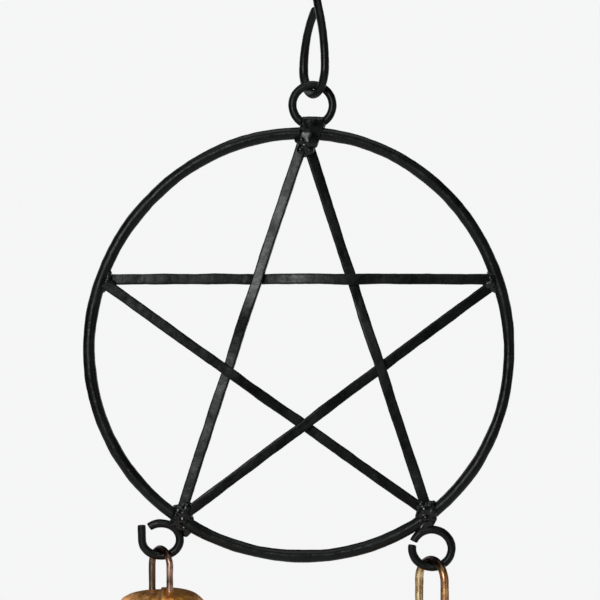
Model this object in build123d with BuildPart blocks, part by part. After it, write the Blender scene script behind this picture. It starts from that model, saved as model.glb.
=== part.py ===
from build123d import *

from math import asin, cos, degrees, radians, sin, tan
import os

# Pentacle wind chime: an iron hoop and woven star on an S-hook, with two bells on rings.
# The chime hangs in the XZ plane with its front towards -Y. The origin is the hanging point, the
# inside top of the hook's upper bend, and everything hangs below it. Lengths are millimetres.

# Hanging hook: an S of round wire, turned about the vertical so that it threads the eye.
HOOK_WIRE = 2.8
HOOK_BEND = 9.0  # centreline radius of both bends
SHANK_SWEEP = (42.0, 24.0)  # radius and angle of the easy curves at both ends of the shank
TIP_SWEEP = (26.0, 51.0)  # radius and angle of the pinched end, which closes on the shank
MOUTH_SWEEP = (20.0, 22.0)  # radius and angle of the open end's flare
HOOK_TURN = 66.0  # degrees between the hook's plane and the chime's plane
HOOK_END_ROUND = 0.42  # radius that softens the cut ends, in thicknesses of wire

# Eye ring, closed, on top of the hoop.
EYE_WIRE = 2.9
EYE_RADIUS = 7.05  # centreline
EYE_X = -0.6

# Hoop.
HOOP_ROD = 4.2
HOOP_RADIUS = 74.0  # centreline
HOOP_X = -5.0
EYE_TO_HOOP = 84.6  # height of the eye's centre over the hoop's

# Star: where each point meets the hoop, in degrees clockwise from the top.
POINTS = {"apex": 1.5, "right": 71.6, "foot_right": 142.5, "foot_left": 215.0, "left": 288.4}
# Each bar runs from a point where it lies in front to a point where it lies behind.
BARS = [
    ("star_bar_apex_to_foot_left", "apex", "foot_left"),
    ("star_bar_apex_to_foot_right", "foot_right", "apex"),
    ("star_bar_left_to_right", "right", "left"),
    ("star_bar_left_to_foot_right", "left", "foot_right"),
    ("star_bar_right_to_foot_left", "foot_left", "right"),
]
BAR_WIDTH = 3.7
BAR_THICK = 2.0
BAR_EDGE = 0.35  # radius of the bar's long edges
BAR_EASE = 7.0  # length over which a bar bends out of its plane, at each end of the change
CROSSING = 0.382  # share of a bar's length from its end to its first crossing

# Open rings under the hoop. Centres are measured from the hoop's centre. A gap runs between two
# angles, anticlockwise from the ring's right side. The left ring's free end is a straight arm.
RING_WIRE = 2.8
RINGS = {
    "left": dict(x=-48.8, z=-67.9, half_width=6.65, half_height=5.7, gap=(129, 180), arm=5.1),
    "right": dict(x=46.3, z=-71.0, half_width=6.95, half_height=6.6, gap=(158, 169), arm=0),
}

# Welds at the star's points: how far inside the hoop's centreline the bead lies, its half length
# along the hoop, its half thickness, and how far round the hoop it lies from the point.
WELDS = {
    "left": (1.5, 5.2, 3.9, 0),
    "right": (1.5, 5.2, 3.9, 0),
    "foot_left": (0.8, 5.6, 4.2, 0),
    "foot_right": (0.6, 6.2, 4.2, 1.5),
    "apex": (1.8, 4.8, 3.7, 0),
}
# The weld under the eye: along the hoop, front to back, and height above its seat in the hoop.
EYE_WELD = (9.4, 5.0, 3.2)
EYE_WELD_SEAT = 1.95
EYE_WELD_CORNER = 1.6
EYE_WELD_EDGE = 1.0

# Bells. The right one is the left one enlarged.
LOOP_TURN = 56.0  # degrees between a bell loop's plane and the chime's plane
BELLS = {
    "left": dict(size=1.0, loop_wire=2.4, loop_width=12.0, crown_drop=12.1),
    "right": dict(size=1.25, loop_wire=3.0, loop_width=14.8, crown_drop=15.925),
}
CROWN_RADIUS = 15.0
CROWN_RISE = 6.0
CROWN_FLAT = 0.8  # 1 would be an ellipse; less is flatter on top and tighter at the shoulder
SHELL_HEIGHT = 44.5  # top of the crown to the lip
LIP_RADIUS = 17.0
WAIST_OUT = 0.4  # how much wider the wall is at its waist than at the shoulder
WAIST_DROP = 0.55  # the waist's depth as a share of the bell's height
SHEET = 0.9
LAP_ANGLE = 11.0  # how far the left half of a bell runs on under the right half, in degrees
LAP_STEP = 0.8  # how far the right half stands out, in thicknesses of sheet
STAPLE_WIRE = 1.7
STAPLE_DROP = 8.1  # from the top of the crown to the staple's bar
STAPLE_REACH = 3.0  # from the bell's axis to the middle of a leg
STAPLE_BEND = 1.2
CROWN_FALL = 0.09  # how much lower than its top the crown is above the staple's legs
CLAPPER_WIRE = 1.8
CLAPPER_EYE = 2.4  # centreline radius
STRIKER_RADIUS = 4.4
STRIKER_DROP = 41.0  # from the top of the crown to the striker's middle
STRIKER_HALF = 1.1  # half the striker's height, in striker radii
STRIKER_SHOULDER = 0.75  # how far out and up its rounded shoulder is, in striker radii
ROD_SUNK = 0.8  # how far the rod runs on below the striker's middle, in striker radii

GAP = 0.3  # free play between linked wires
LOOP_PLAY = 1.6  # a bell's loop has this many times that play on its ring

# Heights that follow from the sizes above.
SHANK_R, SHANK_A = SHANK_SWEEP[0], radians(SHANK_SWEEP[1])
SHANK_RISE = SHANK_R * sin(SHANK_A)
SHANK_IN = SHANK_R * (1 - cos(SHANK_A))
HOOK_HEIGHT = 2 * (HOOK_BEND + SHANK_RISE + (HOOK_BEND - SHANK_IN) / tan(SHANK_A))
HOOK_BOTTOM = HOOK_WIRE / 2 - HOOK_HEIGHT
EYE_PIVOT_Z = HOOK_BOTTOM + HOOK_WIRE / 2 + GAP + EYE_WIRE / 2
EYE_Z = EYE_PIVOT_Z - EYE_RADIUS
HOOP_Z = EYE_Z - EYE_TO_HOOP


def on_hoop(degrees_clockwise, radius=HOOP_RADIUS):
    """A point in the hoop's plane at a radius from its centre."""
    a = radians(degrees_clockwise)
    return Vector(HOOP_X + radius * sin(a), 0, HOOP_Z + radius * cos(a))


def turned_plane(x, z, turn):
    """An upright plane through (x, 0, z) whose right side comes forward by an angle."""
    c, s = cos(radians(turn)), sin(radians(turn))
    return Plane(origin=(x, 0, z), x_dir=(c, -s, 0), z_dir=(-s, -c, 0))


def section_plane(line):
    """The plane square to a line at its start."""
    return Plane(origin=line @ 0, z_dir=line % 0)


made = []


def finish(name, part):
    """Label a finished piece and keep it for writing."""
    part.label = name
    made.append(part)


# ---------------------------------------------------------------- hanging hook

# The lower bend runs round until its tip meets the shank. The upper bend stays open.
with BuildPart() as hanging_hook:
    with BuildLine(turned_plane(0, HOOK_BOTTOM, HOOK_TURN)) as hook_line:
        b, h = HOOK_BEND, HOOK_HEIGHT
        tip_r, tip_a = TIP_SWEEP[0], radians(TIP_SWEEP[1])
        tip = JernArc(
            (tip_r * (1 - cos(tip_a)) - b, b + tip_r * sin(tip_a)),
            (-sin(tip_a), -cos(tip_a)), tip_r, TIP_SWEEP[1],
        )
        ThreePointArc(tip @ 1, (0, 0), (b, b))
        low = JernArc((b, b), (0, 1), SHANK_R, SHANK_SWEEP[1])
        shank = Line(low @ 1, (SHANK_IN - b, h - b - SHANK_RISE))
        JernArc(shank @ 1, shank % 1, SHANK_R, -SHANK_SWEEP[1])
        ThreePointArc((-b, h - b), (0, h), (b, h - b))
        JernArc((b, h - b), (0, -1), *MOUTH_SWEEP)
    with BuildSketch(section_plane(hook_line.line)):
        Circle(HOOK_WIRE / 2)
    sweep(path=hook_line.line)
    fillet(hanging_hook.faces().filter_by(GeomType.PLANE).edges(), HOOK_END_ROUND * HOOK_WIRE)
finish("hanging_hook", hanging_hook.part)

# ---------------------------------------------------------------- hoop and eye

with BuildPart() as hoop:
    with BuildSketch(Plane.XY.offset(HOOP_Z)):
        with Locations((HOOP_X + HOOP_RADIUS, 0)):
            Circle(HOOP_ROD / 2)
    revolve(axis=Axis((HOOP_X, 0, HOOP_Z), (0, 1, 0)))
finish("hoop", hoop.part)

with BuildPart() as eye_ring:
    with BuildSketch(Plane.XY.offset(EYE_Z)):
        with Locations((EYE_X + EYE_RADIUS, 0)):
            Circle(EYE_WIRE / 2)
    revolve(axis=Axis((EYE_X, 0, EYE_Z), (0, 1, 0)))
finish("eye_ring", eye_ring.part)

# ---------------------------------------------------------------- woven star

# A bar lies in front of the middle plane at one end and behind it at the other. It changes
# over between its two crossings, so the five bars weave over and under in turn.
blanks = {}
for name, front_point, back_point in BARS:
    start, end = on_hoop(POINTS[front_point]), on_hoop(POINTS[back_point])
    along = (end - start).normalized()
    length = (end - start).length
    bend_from = CROSSING * length + BAR_WIDTH
    bend_to = (1 - CROSSING) * length - BAR_WIDTH
    # Local x runs along the bar and local y runs towards the back.
    side = Plane(origin=start, x_dir=along, z_dir=along.cross(Vector(0, 1, 0)))
    t, ease = BAR_THICK, BAR_EASE
    with BuildPart() as bar:
        with BuildSketch(side):
            with BuildLine():
                Line((0, 0), (0, -t))
                Line((0, -t), (bend_from, -t))
                Bezier((bend_from, -t), (bend_from + ease, -t), (bend_to - ease, 0), (bend_to, 0))
                Line((bend_to, 0), (length, 0))
                Line((length, 0), (length, t))
                Line((length, t), (bend_to, t))
                Bezier((bend_to, t), (bend_to - ease, t), (bend_from + ease, 0), (bend_from, 0))
                Line((bend_from, 0), (0, 0))
            make_face()
        extrude(amount=BAR_WIDTH / 2, both=True)
        long_edges = bar.edges().filter_by(lambda e: e.length > length / 5)
        fillet(long_edges, BAR_EDGE)
        blanks[name] = bar.part
        # Each end stops where it meets the inside of the hoop's rod.
        with Locations(Plane(origin=(HOOP_X, 0, HOOP_Z), z_dir=(0, 1, 0))):
            Cylinder(HOOP_RADIUS - HOOP_ROD / 2, 4 * t, mode=Mode.INTERSECT)
    finish(name, bar.part)

# ---------------------------------------------------------------- open rings

rings = {}
for hand, ring in RINGS.items():
    x, z = HOOP_X + ring["x"], HOOP_Z + ring["z"]
    with BuildPart() as open_ring:
        # The wire runs from one side of the gap right round to the other.
        with BuildLine(Plane(origin=(x, 0, z), x_dir=(1, 0, 0), z_dir=(0, -1, 0))) as ring_line:
            if ring["arm"] > 0:
                Line((-ring["half_width"], ring["arm"]), (-ring["half_width"], 0))
            EllipticalCenterArc(
                (0, 0), ring["half_width"], ring["half_height"],
                start_angle=ring["gap"][1], arc_size=360 + ring["gap"][0] - ring["gap"][1],
            )
        with BuildSketch(section_plane(ring_line.line)):
            Circle(RING_WIRE / 2)
        sweep(path=ring_line.line)
        # The ring is pressed against the hoop where it is welded on.
        add(hoop.part, mode=Mode.SUBTRACT)
    rings[hand] = open_ring.part
    finish(f"{hand}_open_ring", open_ring.part)

# ---------------------------------------------------------------- welds


def weld(point, around):
    """A bead of weld metal run into the corner at a point of the hoop, cut to fit its pieces."""
    inwards, across, deep, drift = WELDS[point]
    angle = POINTS[point] + drift
    outwards = (on_hoop(angle) - on_hoop(angle, 0)).normalized()
    along = outwards.cross(Vector(0, 1, 0))
    seat = Plane(origin=on_hoop(angle, HOOP_RADIUS - inwards), x_dir=along, z_dir=outwards)
    with BuildPart() as bead:
        # Half an oval turned round its long axis, which lies along the hoop.
        with BuildSketch(seat):
            with BuildLine():
                Spline((-across, 0), (-0.7 * across, 0.72 * deep), (0, deep),
                       (0.7 * across, 0.72 * deep), (across, 0), tangents=((0, 1), (0, -1)))
                Line((across, 0), (-across, 0))
            make_face()
        revolve(axis=Axis(seat.origin, along))
        for piece in around:
            add(piece, mode=Mode.SUBTRACT)
    finish(f"weld_{point}", bead.part)


# Each bead is cut by the hoop, by the two bars before their ends were trimmed, and by the ring.
bead_rings = {"foot_left": rings["left"], "foot_right": rings["right"]}
for point in WELDS:
    pieces = [hoop.part] + [blanks[name] for name, a, b in BARS if point in (a, b)]
    if point in bead_rings:
        pieces.append(bead_rings[point])
    weld(point, pieces)

# The eye's weld fills the notch between the hoop's top and the bottom of the eye.
eye_angle = degrees(asin((EYE_X - HOOP_X) / EYE_TO_HOOP))
outwards = (on_hoop(eye_angle) - on_hoop(eye_angle, 0)).normalized()
notch = Plane(
    origin=on_hoop(eye_angle, HOOP_RADIUS + EYE_WELD_SEAT),
    x_dir=outwards.cross(Vector(0, 1, 0)), z_dir=outwards,
)
with BuildPart() as weld_eye:
    with BuildSketch(notch):
        RectangleRounded(EYE_WELD[0], EYE_WELD[1], EYE_WELD_CORNER)
    extrude(amount=EYE_WELD[2])
    top_face = weld_eye.faces().sort_by(Axis(notch.origin, outwards))[-1]
    fillet(top_face.edges(), EYE_WELD_EDGE)
    add(hoop.part, mode=Mode.SUBTRACT)
    add(eye_ring.part, mode=Mode.SUBTRACT)
finish("weld_eye", weld_eye.part)

# ---------------------------------------------------------------- bells


def bell_wall(k, outwards=0.0):
    """Half section of the bell's wall from the shoulder to the lip, from its axis out."""
    r, rise, drop = k * CROWN_RADIUS, k * CROWN_RISE, k * SHELL_HEIGHT
    shoulder, waist, lip = r + outwards, r + WAIST_OUT * k + outwards, k * LIP_RADIUS + outwards
    waist_z = -WAIST_DROP * drop
    with BuildSketch(Plane.XZ) as section:
        with BuildLine():
            outer = Spline((shoulder, -rise), (waist, waist_z), (lip, -drop),
                           tangents=((0, -1), (0.25, -1)))
            inner = Spline((shoulder - SHEET, -rise), (waist - SHEET, waist_z),
                           (lip - SHEET, -drop), tangents=((0, -1), (0.25, -1)))
            Line(outer @ 0, inner @ 0)
            Line(outer @ 1, inner @ 1)
        make_face()
    return section.sketch


def oval_points(a, b, foot):
    """Points a quarter of the way round an oval, from its top down to its widest place."""
    angles = [radians(15 * i) for i in range(6)]
    sides = [(a * sin(t) ** CROWN_FLAT, foot + b * cos(t) ** CROWN_FLAT) for t in angles]
    return sides + [(a, foot)]


def bell_dome(k, outwards=0.0):
    """Half section of the bell's crown, a flat oval dome of sheet, from its axis out."""
    rise = k * CROWN_RISE
    a, b = k * CROWN_RADIUS + outwards, rise + outwards
    with BuildSketch(Plane.XZ) as section:
        with BuildLine():
            outer = Spline(oval_points(a, b, -rise), tangents=((1, 0), (0, -1)))
            inner = Spline(oval_points(a - SHEET, b - SHEET, -rise), tangents=((1, 0), (0, -1)))
            Line(outer @ 0, inner @ 0)
            Line(outer @ 1, inner @ 1)
        make_face()
    return section.sketch


for hand, bell in BELLS.items():
    k = bell["size"]
    ring = RINGS[hand]
    x = HOOP_X + ring["x"]
    pivot_z = HOOP_Z + ring["z"] - ring["half_height"]
    top = pivot_z - bell["crown_drop"]
    wire = bell["loop_wire"]
    half = bell["loop_width"] / 2
    arch = pivot_z + RING_WIRE / 2 + LOOP_PLAY * GAP + wire / 2
    centre = Axis((x, 0, top), (0, 0, 1))
    # Where each half starts, turning anticlockwise seen from above, and how far it runs.
    left_half = dict(start=90 - LAP_ANGLE, arc=180 + 2 * LAP_ANGLE)
    right_half = dict(start=-90, arc=180)

    # Loop over the ring's wire. Its two legs pass down through the crown.
    with BuildPart() as loop:
        with BuildLine(turned_plane(x, arch, LOOP_TURN)) as loop_line:
            foot = arch - (top - 0.5 * k * CROWN_RISE)
            Line((-half, -foot), (-half, -half))
            ThreePointArc((-half, -half), (0, 0), (half, -half))
            Line((half, -half), (half, -foot))
        with BuildSketch(section_plane(loop_line.line)):
            Circle(wire / 2)
        sweep(path=loop_line.line)
    finish(f"{hand}_bell_loop", loop.part)

    # Crown: two halves of sheet, the right one lapped over the left one in front and behind.
    with BuildPart() as crown:
        add(bell_dome(k).moved(Location((x, 0, top), (0, 0, 1), left_half["start"])))
        revolve(axis=centre, revolution_arc=left_half["arc"])
        over = bell_dome(k, LAP_STEP * SHEET)
        add(over.moved(Location((x, 0, top), (0, 0, 1), right_half["start"])))
        revolve(axis=centre, revolution_arc=right_half["arc"])
        right, forward = half * cos(radians(LOOP_TURN)), half * sin(radians(LOOP_TURN))
        with Locations((x + right, -forward, top + SHEET), (x - right, forward, top + SHEET)):
            Hole(wire / 2, depth=2 * k * CROWN_RISE)
    finish(f"{hand}_bell_crown", crown.part)

    # Wall: the same two halves, rolled and lapped the same way.
    with BuildPart() as shell:
        add(bell_wall(k).moved(Location((x, 0, top), (0, 0, 1), left_half["start"])))
        revolve(axis=centre, revolution_arc=left_half["arc"])
        over = bell_wall(k, LAP_STEP * SHEET)
        add(over.moved(Location((x, 0, top), (0, 0, 1), right_half["start"])))
        revolve(axis=centre, revolution_arc=right_half["arc"])
    finish(f"{hand}_bell_shell", shell.part)

    # Staple: a U of wire brazed under the crown, with a level bar for the clapper's eye.
    bar_z = top - k * STAPLE_DROP
    reach, rise = k * STAPLE_REACH, k * (STAPLE_DROP - CROWN_FALL) - SHEET
    with BuildPart() as staple:
        with BuildLine(Plane(origin=(x, 0, bar_z), x_dir=(1, 0, 0), z_dir=(0, -1, 0))) as u:
            FilletPolyline((-reach, rise), (-reach, 0), (reach, 0), (reach, rise),
                           radius=k * STAPLE_BEND)
        with BuildSketch(section_plane(u.line)):
            Circle(k * STAPLE_WIRE / 2)
        sweep(path=u.line)
    finish(f"{hand}_bell_staple", staple.part)

    # Clapper: a rod with an eye round the staple's bar, and a rounded striker.
    rod_wire = k * CLAPPER_WIRE
    eye_top = bar_z + k * STAPLE_WIRE / 2 + GAP + rod_wire / 2
    eye_z = eye_top - k * CLAPPER_EYE
    striker_z = top - k * STRIKER_DROP
    r = k * STRIKER_RADIUS
    rod_foot = striker_z - ROD_SUNK * r
    with BuildPart() as rod:
        with BuildSketch(Plane.XZ):
            with Locations((x, eye_top)):
                Circle(rod_wire / 2)
        revolve(axis=Axis((x, 0, eye_z), (1, 0, 0)))
        with BuildSketch(Plane.XY.offset(rod_foot)):
            with Locations((x, 0)):
                Circle(rod_wire / 2)
        extrude(amount=eye_z - k * CLAPPER_EYE - rod_foot)
    finish(f"{hand}_clapper_rod", rod.part)

    half_high, shoulder = STRIKER_HALF * r, STRIKER_SHOULDER * r
    with BuildPart() as striker:
        with BuildSketch(Plane.XZ):
            with BuildLine():
                side = Spline((x, striker_z + half_high), (x + shoulder, striker_z + shoulder),
                              (x + r, striker_z), (x + shoulder, striker_z - shoulder),
                              (x, striker_z - half_high), tangents=((1, 0), (-1, 0)))
                Line(side @ 1, side @ 0)
            make_face()
        revolve(axis=Axis((x, 0, striker_z), (0, 0, 1)))
        add(rod.part, mode=Mode.SUBTRACT)
    finish(f"{hand}_clapper_striker", striker.part)

# ---------------------------------------------------------------- write the pieces

os.makedirs("parts", exist_ok=True)
for part in made:
    export_step(part, f"parts/{part.label}.step")
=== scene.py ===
import math

import bmesh
import bpy
import numpy as np
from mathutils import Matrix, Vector, noise


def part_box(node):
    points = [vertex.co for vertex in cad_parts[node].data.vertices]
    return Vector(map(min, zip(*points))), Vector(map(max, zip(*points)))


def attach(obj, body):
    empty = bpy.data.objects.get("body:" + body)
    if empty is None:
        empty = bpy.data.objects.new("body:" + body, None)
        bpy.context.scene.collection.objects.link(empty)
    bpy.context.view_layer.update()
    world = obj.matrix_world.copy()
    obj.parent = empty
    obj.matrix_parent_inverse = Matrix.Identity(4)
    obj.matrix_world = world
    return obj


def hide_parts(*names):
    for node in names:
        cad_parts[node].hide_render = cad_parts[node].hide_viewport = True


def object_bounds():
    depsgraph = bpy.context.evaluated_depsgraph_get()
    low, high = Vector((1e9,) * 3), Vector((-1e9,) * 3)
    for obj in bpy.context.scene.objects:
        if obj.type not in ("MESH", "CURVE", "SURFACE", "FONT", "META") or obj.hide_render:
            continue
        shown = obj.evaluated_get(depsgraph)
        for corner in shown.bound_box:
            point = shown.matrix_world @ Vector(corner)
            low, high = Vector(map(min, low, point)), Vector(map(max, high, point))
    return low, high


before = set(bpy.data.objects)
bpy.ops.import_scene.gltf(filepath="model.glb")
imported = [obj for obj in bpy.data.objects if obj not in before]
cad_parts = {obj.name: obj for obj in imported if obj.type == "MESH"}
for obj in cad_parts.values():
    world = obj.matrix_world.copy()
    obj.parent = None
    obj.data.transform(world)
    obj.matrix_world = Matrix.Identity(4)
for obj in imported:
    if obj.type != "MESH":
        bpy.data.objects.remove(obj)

CAD_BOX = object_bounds()
MM = 0.001
FORWARD = np.array([0.0, -1.0, 0.0])

# ---------------------------------------------------------------- sizes read from the CAD


def corners(node):
    """A node's lowest and highest corner as arrays."""
    lo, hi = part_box(node)
    return np.array(lo), np.array(hi)


def wire_of(node):
    """Thickness of a bent wire or rod that lies in the XZ plane."""
    lo, hi = corners(node)
    return hi[1] - lo[1]


def centre_of(node):
    """Middle of a node's box."""
    lo, hi = corners(node)
    return (lo + hi) / 2


HOOP_CENTRE = centre_of("hoop")
HOOP_CENTRE[1] = 0.0
HOOP_WIDTH = corners("hoop")[1][0] - corners("hoop")[0][0]
HOOP_ROD = wire_of("hoop")
HOOP_RADIUS = (HOOP_WIDTH - HOOP_ROD) / 2

# ---------------------------------------------------------------- mesh helpers


def hump(share, middle, reach):
    """A smooth hump of height 1 at the middle that dies away over about that reach."""
    return np.exp(-(((share - middle) / reach) ** 2))


def ripple(points, seed, size):
    """Smooth noise from -1 to 1 at each point, with lumps of about that size."""
    shift = Vector((17.31 * seed, 5.13 * seed, 9.77 * seed))
    return np.array([noise.noise(Vector(p) / size + shift) for p in points])


def unit(v):
    """Vectors made one long."""
    return v / np.linalg.norm(v, axis=-1, keepdims=True)


def make_piece(node, verts, faces, material, body, seam=None):
    """A smooth-shaded mesh that stands for a CAD node and rides on its body. seam gives each
    vertex a share from 0 to 1, which a material can darken."""
    mesh = bpy.data.meshes.new(f"{node}_shaped")
    mesh.from_pydata([tuple(v) for v in verts], [], faces)
    mesh.materials.append(material)
    if seam is not None:
        mesh.attributes.new("seam", "FLOAT", "POINT").data.foreach_set("value", seam)
    mesh.polygons.foreach_set("use_smooth", [True] * len(mesh.polygons))
    mesh.update()
    piece = bpy.data.objects.new(f"{node}_shaped", mesh)
    bpy.context.scene.collection.objects.link(piece)
    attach(piece, body)
    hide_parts(node)


def spaced(points, step, bevel=0.0, closed=False):
    """Points resampled at an even step, closer together over the softened ends, with how far
    along the path each lies and the path's length."""
    points = np.asarray(points, float)
    if closed:
        points = np.vstack([points, points[:1]])
    run = np.concatenate([[0], np.cumsum(np.linalg.norm(np.diff(points, axis=0), axis=1))])
    total = run[-1]
    if closed:
        where = np.linspace(0, total, int(total / step), endpoint=False)
    else:
        inner = np.linspace(bevel, total - bevel, max(3, int((total - 2 * bevel) / step)))
        tips = bevel * (1 - np.cos(np.linspace(0, math.pi / 2, 6)[:-1]))
        where = np.concatenate([tips, inner, total - tips[::-1]]) if bevel else inner
    place = np.stack([np.interp(where, run, points[:, k]) for k in range(3)], 1)
    return place, where, total


def sweep(points, level, outline, scale=None, spin=None, step=0.6 * MM, bevel=0.0,
          closed=False, dents=()):
    """A section carried along a path whose plane is square to level.

    outline is an array of (across, along level). scale and spin give a factor and a turn for
    each share of the path. bevel rounds the open ends. dents are (seed, size, depth) rows of
    surface noise. Returns vertices and faces.
    """
    path, where, total = spaced(points, step, bevel, closed)
    if closed:
        tangent = unit(np.roll(path, -1, 0) - np.roll(path, 1, 0))
    else:
        tangent = unit(np.gradient(path, axis=0))
    across = unit(np.cross(np.broadcast_to(level, tangent.shape), tangent))
    up = np.cross(tangent, across)
    if spin is not None:
        c, s = (f(spin(where / total))[:, None] for f in (np.cos, np.sin))
        across, up = c * across + s * up, c * up - s * across
    size = np.ones(len(path)) if scale is None else scale(where / total)
    if bevel:
        reach = np.abs(outline).max()
        from_end = np.clip(np.minimum(where, total - where), 0, bevel)
        size = size * (1 - (bevel - np.sqrt(bevel**2 - (bevel - from_end) ** 2)) / reach)
    ring = outline[None, :, 0, None] * across[:, None] + outline[None, :, 1, None] * up[:, None]
    verts = (path[:, None] + ring * size[:, None, None]).reshape(-1, 3)
    push = np.zeros(len(verts))
    for seed, lump, depth in dents:
        push += depth * ripple(verts, seed, lump)
    verts = verts + unit(ring).reshape(-1, 3) * push[:, None]
    rings, count = len(path), len(outline)
    faces = []
    for i in range(rings if closed else rings - 1):
        a, b = i * count, (i + 1) % rings * count
        for j in range(count):
            k = (j + 1) % count
            faces.append((a + j, a + k, b + k, b + j))
    if not closed:
        faces.append(tuple(reversed(range(count))))
        faces.append(tuple(range((rings - 1) * count, rings * count)))
    return verts, faces


def circle(radius, count=26):
    """A round section."""
    turn = np.linspace(0, 2 * math.pi, count, endpoint=False)
    return radius * np.stack([np.cos(turn), np.sin(turn)], 1)


def flat_section(width, thick, corner, corner_steps=4):
    """A flat bar's section with softened corners."""
    half = np.array([width / 2 - corner, thick / 2 - corner])
    outline = []
    for sx, sy, start in ((1, 1, 0), (-1, 1, 90), (-1, -1, 180), (1, -1, 270)):
        for step in range(corner_steps + 1):
            turn = math.radians(start + 90 / corner_steps * step)
            outline.append(half * (sx, sy) + corner * np.array([math.cos(turn), math.sin(turn)]))
        if start in (0, 180):
            # Extra points over the wide face let it carry dents.
            for share in (0.2, 0.4, 0.6, 0.8):
                outline.append(np.array([sx * half[0] * (1 - 2 * share), sy * thick / 2]))
    return np.array(outline)


def polar(degrees_clockwise, radius):
    """A point in the chime's plane, at an angle clockwise from the hoop's top."""
    a = math.radians(degrees_clockwise)
    return HOOP_CENTRE + radius * np.array([math.sin(a), 0, math.cos(a)])


def turtle(start, heading, moves, step=2.0):
    """Points along arcs and straights in a plane. A move is (radius, degrees) or (length, None)."""
    place, angle = np.array(start, float), math.radians(heading)
    points = [place.copy()]
    for size, turn in moves:
        if turn is None:
            place = place + size * np.array([math.cos(angle), math.sin(angle)])
            points.append(place.copy())
            continue
        pieces = max(2, int(abs(turn) / step))
        side = math.copysign(1.0, turn)
        middle = place + side * size * np.array([-math.sin(angle), math.cos(angle)])
        for _ in range(pieces):
            angle += math.radians(turn) / pieces
            place = middle + side * size * np.array([math.sin(angle), -math.cos(angle)])
            points.append(place.copy())
    return np.array(points)


def upright(points, origin, turn):
    """Points of an upright plane whose right side comes forward by an angle, and its normal."""
    c, s = math.cos(math.radians(turn)), math.sin(math.radians(turn))
    right = np.array([c, -s, 0.0])
    placed = origin + points[:, :1] * right + points[:, 1:] * np.array([0, 0, 1.0])
    return placed, np.array([-s, -c, 0.0])


# ---------------------------------------------------------------- material helpers

# Colours as linear red, green and blue.
PAINT_DEEP = (0.0016, 0.0018, 0.0017)
PAINT_THIN = (0.0040, 0.0050, 0.0047)
PAINT_WORN = (0.022, 0.028, 0.026)
WELD_DEEP = (0.0018, 0.002, 0.002)
WELD_THIN = (0.0045, 0.0052, 0.005)
# Bright specks painted on the weld metal as glints.
WELD_GLINT = (0.07, 0.08, 0.08)
GOLD_DEEP = (0.63, 0.255, 0.038)
GOLD_BRIGHT = (0.86, 0.40, 0.085)
GOLD_FLECK = (0.70, 0.46, 0.19)
COPPER = (0.33, 0.095, 0.024)
DARK_SCALE = (0.085, 0.042, 0.018)
# Painted shade and dirt in a dark line along the bells' lapped seams.
SEAM_SHADE_AND_DIRT = (0.060, 0.026, 0.010)
ARCH_SCALE = (0.020, 0.009, 0.005)
BARE_IRON = (0.035, 0.033, 0.031)
RUST = (0.10, 0.052, 0.030)
# Each bell's loop: its left leg, its right leg and the streaks over both.
LOOP_TONES = {
    "left": ((0.19, 0.14, 0.10), (0.70, 0.42, 0.30), (0.17, 0.10, 0.07)),
    "right": ((0.90, 0.74, 0.43), (0.78, 0.44, 0.20), (0.44, 0.22, 0.10)),
}
FLOOR_DIM = (0.80, 0.80, 0.80)
FLOOR_PALE = (0.83, 0.83, 0.83)
BACKDROP = (0.915, 0.918, 0.918, 1.0)
WHITE = (1.0, 1.0, 1.0, 1.0)
LAMP = (0.975, 1.0, 0.995)


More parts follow.
